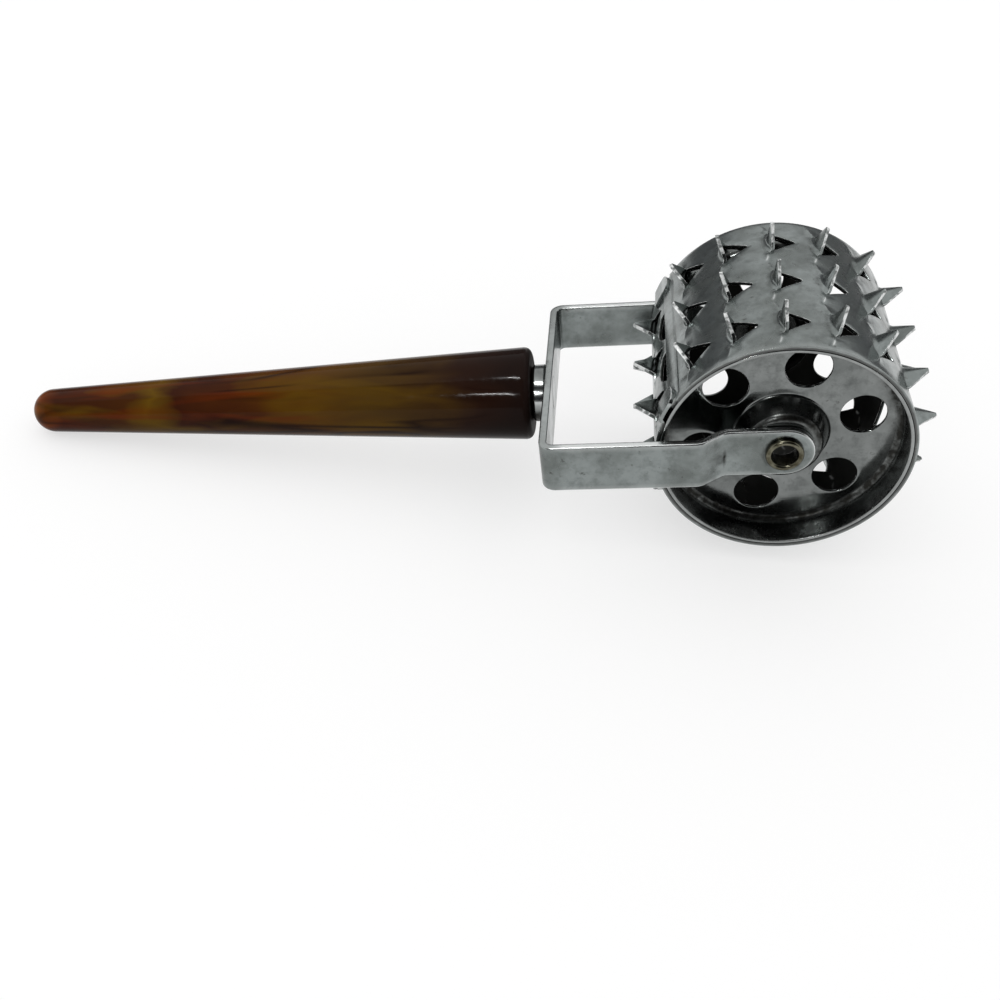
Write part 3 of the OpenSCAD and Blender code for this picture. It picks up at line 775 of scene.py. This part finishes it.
def makeEyelet(name, node, side):
    e = eyelet
    rimRadius = e["middleRadius"] + 2 * e["roll"]
    path = bentPath([(rimRadius, e["rimFoot"]), (rimRadius, e["rimTop"]), (e["middleRadius"], e["rimTop"]),
                     (e["middleRadius"], e["clinch"]), (e["clinchRadius"], e["clinch"])],
                    [0, e["roll"], e["roll"], e["clinchBend"], 0], e["bendDegrees"])
    mesh = cleaned(meshFrom(name, *revolved([(p.x, p.y) for p in path], e["segments"])))
    finishPiece(name, thickened(mesh, e["wall"], e["edge"]), side, [eyeletBrass], "frame", node,
                {"grime": eyeletPaintedShade})


makeEyelet("nearEyelet", "near_eyelet", aboutAxle)
makeEyelet("farEyelet", "far_eyelet", farSide)

# yoke: a flat strip with a hole in each rounded end, bent along its path

yoke = {
    "width": 13.5, "thickness": 2.0, "armTip": 7.35, "endCentre": 0.6, "armMiddle": 26.9, "outerMiddle": 30.9,
    "joggle": (-14.2, -20.2), "bridge": -57.9, "joggleBend": 4.0, "bridgeBend": 2.5, "eyeletHole": 3.62,
    "studHole": 4.25, "edge": 0.7,
    "mesh": {"bendDegrees": 6.0, "paddle": 5.5, "studPatch": 9.0, "across": 8, "capSteps": 24,
             "endStep": 1.2, "patchStep": 1.5, "stripStep": 3.0, "apart": 0.02},
    "wear": {"rivet": 0.6, "rivetRadius": 5.0, "rivetWide": 0.7, "bend": 0.45, "bendWide": 2.5, "bush": 0.8,
             "bushRadius": 8.0, "bushWide": 1.0, "mark": 1.3, "markAt": (-14.3, -0.6), "markSize": (0.6, 2.6),
             "rubLeast": 0.25, "rub": 0.65, "rubFrom": 1.5, "rubRise": 4.0, "rubIn": 0.6, "rubFade": 0.45}}


def acrossStrip():
    half, n = yoke["width"] / 2, yoke["mesh"]["across"]
    return [-half + 2 * half * k / n for k in range(n + 1)]


def holedPatch(u0, u1, centre, radius, roundEnd):  # a stretch of flat strip with a hole in it
    half, m = yoke["width"] / 2, yoke["mesh"]
    far = [(u0, -v) for v in acrossStrip()]
    start, step = u0, m["patchStep"]
    if roundEnd:
        start, step = u0 + half, m["endStep"]
        angles = [radians(-90 + 180 * k / m["capSteps"]) for k in range(m["capSteps"] + 1)]
        far = [(start - half * cos(a), -half * sin(a)) for a in angles]
    outline = [(u1, v) for v in acrossStrip()] + split([(u1, half), (start, half)], step)[1:-1]
    outline += far + split([(start, -half), (u1, -half)], step)[1:-1]
    return holed(outline, centre, radius, 0.0)


def yokeGrime(p):  # dirt stays round the rivets and under the handle, the bends are darker, and one old mark sits on the near arm
    y, w = yoke, yoke["wear"]
    rivet = w["rivet"] * bell(hypot(p.x, p.z) - w["rivetRadius"], w["rivetWide"]) if p.x > y["joggle"][0] else 0
    bend = w["bend"] * bell(p.x - sum(y["joggle"]) / 2, w["bendWide"])
    bush = w["bush"] * bell(hypot(p.y, p.z) - w["bushRadius"], w["bushWide"]) if p.x < y["bridge"] else 0
    (x, z), (wide, high) = w["markAt"], w["markSize"]
    mark = w["mark"] * bell(p.x - x, wide) * bell(p.z - z, high) if p.y < 0 else 0
    return max(rivet, bend, bush, mark)


def yokeRubAndHighlight(p):  # the strip's long edges are lightened: rubbed wear and a painted highlight
    y, w = yoke, yoke["wear"]
    out = hypot(max(p.x - y["endCentre"], 0), p.z)
    onArm = w["rubLeast"] + w["rub"] * easeIn((p.x - y["bridge"] - w["rubFrom"]) / w["rubRise"])
    return onArm * easeIn((out - y["width"] / 2 + w["rubIn"]) / w["rubFade"])


def makeYoke():
    y, m = yoke, yoke["mesh"]
    halfPath = [(y["armTip"], y["armMiddle"]), (y["joggle"][0], y["armMiddle"]), (y["joggle"][1], y["outerMiddle"]),
                (y["bridge"], y["outerMiddle"])]
    bends = [0, y["joggleBend"], y["joggleBend"], y["bridgeBend"]]
    stations = bentPath(halfPath + [(x, -z) for x, z in reversed(halfPath)], bends + bends[::-1], m["bendDegrees"])
    lengths = [0.0]
    for p, q in zip(stations, stations[1:]):
        lengths.append(lengths[-1] + (q - p).length)
    total, middle = lengths[-1], lengths[-1] / 2
    paddle = y["armTip"] + m["paddle"]  # where the end with its hole meets the plain strip
    stud = (middle - m["studPatch"], middle + m["studPatch"])
    parts = [holedPatch(0, paddle, y["armTip"], y["eyeletHole"], True), holedPatch(*stud, middle, y["studHole"], False)]
    v, f = parts[0]
    parts.append(([(total - a, -b, c) for a, b, c in v], f))
    across = acrossStrip()
    for start, end in ((paddle, stud[0]), (stud[1], total - paddle)):
        places = [start] + [u for u in lengths if start + m["apart"] < u < end - m["apart"]] + [end]
        places = sorted(set(q[0] for q in split([(u, 0) for u in places], m["stripStep"])))
        quads = [(a, d, c, b) for a, b, c, d in gridFaces(len(places), len(across))]
        parts.append(([(u, v, 0.0) for u in places for v in across], quads))
    verts, faces = joined(*parts)
    bent = []
    for u, v, _ in verts:
        k = max(i for i in range(len(lengths) - 1) if lengths[i] <= u + 1e-9)
        p = stations[k].lerp(stations[k + 1], (u - lengths[k]) / (lengths[k + 1] - lengths[k]))
        bent.append((p.x, -p.y, v))
    mesh = cleaned(meshFrom("yokeStrip", bent, faces))
    finishPiece("yokeStrip", thickened(mesh, y["thickness"], y["edge"]), Matrix.Identity(4), [platedSteel], "frame",
                "yoke", {"grime": yokeGrime, "rub": yokeRubAndHighlight})


makeYoke()

# collar and handle: turned pieces

collar = {
    "radius": 7.5, "length": 3.6, "start": 58.9, "round": 1.2, "bore": 2.55, "edge": 0.25, "roundSteps": 8,
    "segments": 96,
    "wear": {"paintedShade": 1.2, "paintedShadeFrom": 0.8, "fade": 2.5, "brightAt": 3.8, "brightWide": 2.2}}


def collarPaintedShade(p):  # painted shade: the lower half is darker
    w = collar["wear"]
    return w["paintedShade"] * easeIn((w["paintedShadeFrom"] - p.x) / w["fade"])


def collarPaintedHighlight(p):  # a painted highlight along the top
    return bell(p.x - collar["wear"]["brightAt"], collar["wear"]["brightWide"])


def makeCollar():
    c = collar
    profile = [(c["bore"], 0), (c["radius"] - c["edge"], 0), (c["radius"], c["edge"])]
    for k in range(c["roundSteps"] + 1):
        a = radians(90 * k / c["roundSteps"])
        profile.append((c["radius"] - c["round"] * (1 - cos(a)), c["length"] - c["round"] * (1 - sin(a))))
    profile += [(c["bore"], c["length"]), (c["bore"], 0)]
    mesh = cleaned(meshFrom("collar", *revolved(profile, c["segments"])))
    finishPiece("collarBush", mesh, Matrix.Translation((-c["start"], 0, 0)) @ alongHandle, [cupSteel], "frame",
                "collar", {"grime": collarPaintedShade, "rub": collarPaintedHighlight})


makeCollar()

handle = {
    "start": 62.5, "length": 140.0, "radius": 12.25, "tail": 6.0, "edge": 2.0, "bore": 2.55, "depth": 30.0,
    "edgeSteps": 12, "sideSteps": 40, "tailSteps": 14, "segments": 128}


def makeHandle():
    h = handle
    tailCentre = h["length"] - h["tail"]
    taper = asin((h["radius"] - h["tail"]) / tailCentre)
    edgeCentre = h["radius"] / cos(taper) - h["edge"] * (tan(taper) + 1 / cos(taper))
    profile = [(0, h["depth"]), (h["bore"], h["depth"]), (h["bore"], 0)]
    for k in range(h["edgeSteps"] + 1):
        a = radians(-90) + (radians(90) + taper) * k / h["edgeSteps"]
        profile.append((edgeCentre + h["edge"] * cos(a), h["edge"] + h["edge"] * sin(a)))
    (r0, z0), (r1, z1) = profile[-1], (h["tail"] * cos(taper), tailCentre + h["tail"] * sin(taper))
    for k in range(1, h["sideSteps"] + 1):
        profile.append((r0 + (r1 - r0) * k / h["sideSteps"], z0 + (z1 - z0) * k / h["sideSteps"]))
    for k in range(1, h["tailSteps"] + 1):
        a = taper + (pi / 2 - taper) * k / h["tailSteps"]
        profile.append((h["tail"] * cos(a), tailCentre + h["tail"] * sin(a)))
    mesh = cleaned(meshFrom("handle", *revolved(profile, h["segments"])))
    finishPiece("taperedHandle", mesh, Matrix.Translation((-h["start"], 0, 0)) @ alongHandle, [marbledPlastic], "frame",
                "handle", {})


makeHandle()

stud = frame["nodes"]["handle_stud"]
stud.data.materials.clear()
stud.data.materials.append(platedSteel)

# stage: pale table, white surroundings, a dark card in front, a grey one behind, two tubes, camera

stage = {"tone": "#a9a9a9", "glow": 0.6, "bounce": "#9c9c9c", "size": 3.0, "roughness": 0.9}
cards = {
    "blackCard": {"tone": "#0b0c0f", "place": (0.03, -0.85, 0.77), "wide": 1.4, "high": (-1.03, 0.75)},
    "greyCard": {"tone": "#858688", "place": (0.0, 1.0, 0.25), "wide": 1.6, "high": (-0.24, 0.24)}}


def makeTable():
    verts = [(x * stage["size"], y * stage["size"], 0) for x, y in ((-1, -1), (1, -1), (1, 1), (-1, 1))]
    mesh = meshFrom("table", verts, [(0, 1, 2, 3)])
    material, tree, shader = newMaterial("paleTable")
    path = addNode(tree, "LightPath").outputs
    seen = path["Is Camera Ray"]
    for ray in ("Is Glossy Ray", "Is Transmission Ray"):  # mirrors and glass see the same white table
        seen = addNode(tree, "Math", {"operation": "MAXIMUM"}, {0: seen, 1: path[ray]}).outputs[0]
    tone = addNode(tree, "Mix", {"data_type": "RGBA"}, {
        "Factor": seen, "A": linearColor(stage["bounce"]), "B": linearColor(stage["tone"])})
    glow = addNode(tree, "MapRange", inputs={"Value": seen, "To Max": stage["glow"]})
    fill(tree, shader, {
        "Base Color": tone.outputs["Result"], "Emission Strength": glow.outputs["Result"],
        "Emission Color": (1, 1, 1, 1), "Roughness": stage["roughness"]})
    mesh.materials.append(material)
    table = linked("table", mesh)


def makeCard(name, look):  # seen only in reflections, so it takes no light from the tool or the table
    wide, (low, high) = look["wide"], look["high"]
    place = Vector(look["place"])
    turn = Matrix.Translation(place) @ (-place).to_track_quat("Z", "Y").to_matrix().to_4x4()
    corners = ((-wide, low, 0), (wide, low, 0), (wide, high, 0), (-wide, high, 0))
    mesh = meshFrom(name, [turn @ Vector(c) for c in corners], [(0, 1, 2, 3)])
    material, tree, shader = newMaterial(name)
    fill(tree, shader, {"Base Color": linearColor(look["tone"]), "Roughness": 1.0})
    mesh.materials.append(material)
    card = linked(name, mesh)
    for ray in ("camera", "diffuse", "transmission", "volume_scatter", "shadow"):
        setattr(card, "visible_" + ray, False)


makeTable()
for name, look in cards.items():
    makeCard(name, look)

tubes = {
    "wide": 0.016, "watts": 1.9, "aim": (-0.08, 0.0, 0.03),
    "ends": [((-0.3, -0.179, 0.86), (-0.2, -0.268, 0.86)), ((-0.32, -0.75, 0.595), (-0.22, -0.75, 0.493))]}
for number, (first, last) in enumerate(tubes["ends"], 1):
    first, last = Vector(first), Vector(last)
    middle = (first + last) / 2
    data = bpy.data.lights.new("tube%d" % number, "AREA")
    data.shape = "RECTANGLE"
    data.size, data.size_y = (last - first).length, tubes["wide"]
    data.energy = tubes["watts"]
    across = (last - first).normalized()
    up = (middle - Vector(tubes["aim"])).normalized().cross(across).normalized()
    light = linked(data.name, data)
    light.matrix_world = Matrix.Translation(middle) @ Matrix((across, up, across.cross(up))).transposed().to_4x4()
    light.visible_diffuse = False  # they draw highlights, and the surroundings light the object

world = bpy.data.worlds.new("whiteSurroundings")
world.use_nodes = True
fill(world.node_tree, world.node_tree.nodes["Background"], {"Color": (1, 1, 1, 1), "Strength": 1.0})
bpy.context.scene.world = world

cameraView = {
    "place": (0.022733, -0.249115, 0.213825), "right": (0.99538, 0.08235, 0.04938),
    "down": (0.09189, -0.66758, -0.73885), "forward": (-0.02788, 0.73997, -0.67206), "lens": 42.137,
    "sensor": 36.0, "clipStart": 0.01}
camera = linked("camera", bpy.data.cameras.new("camera"))
camera.data.lens = cameraView["lens"]
camera.data.sensor_width = cameraView["sensor"]
camera.data.clip_start = cameraView["clipStart"]
axes = Matrix((cameraView["right"], [-v for v in cameraView["down"]], [-v for v in cameraView["forward"]])).transposed()
camera.matrix_world = Matrix.Translation(cameraView["place"]) @ axes.to_4x4()
bpy.context.scene.camera = camera
bpy.context.scene.view_settings.view_transform = "Standard"
print("stage set")
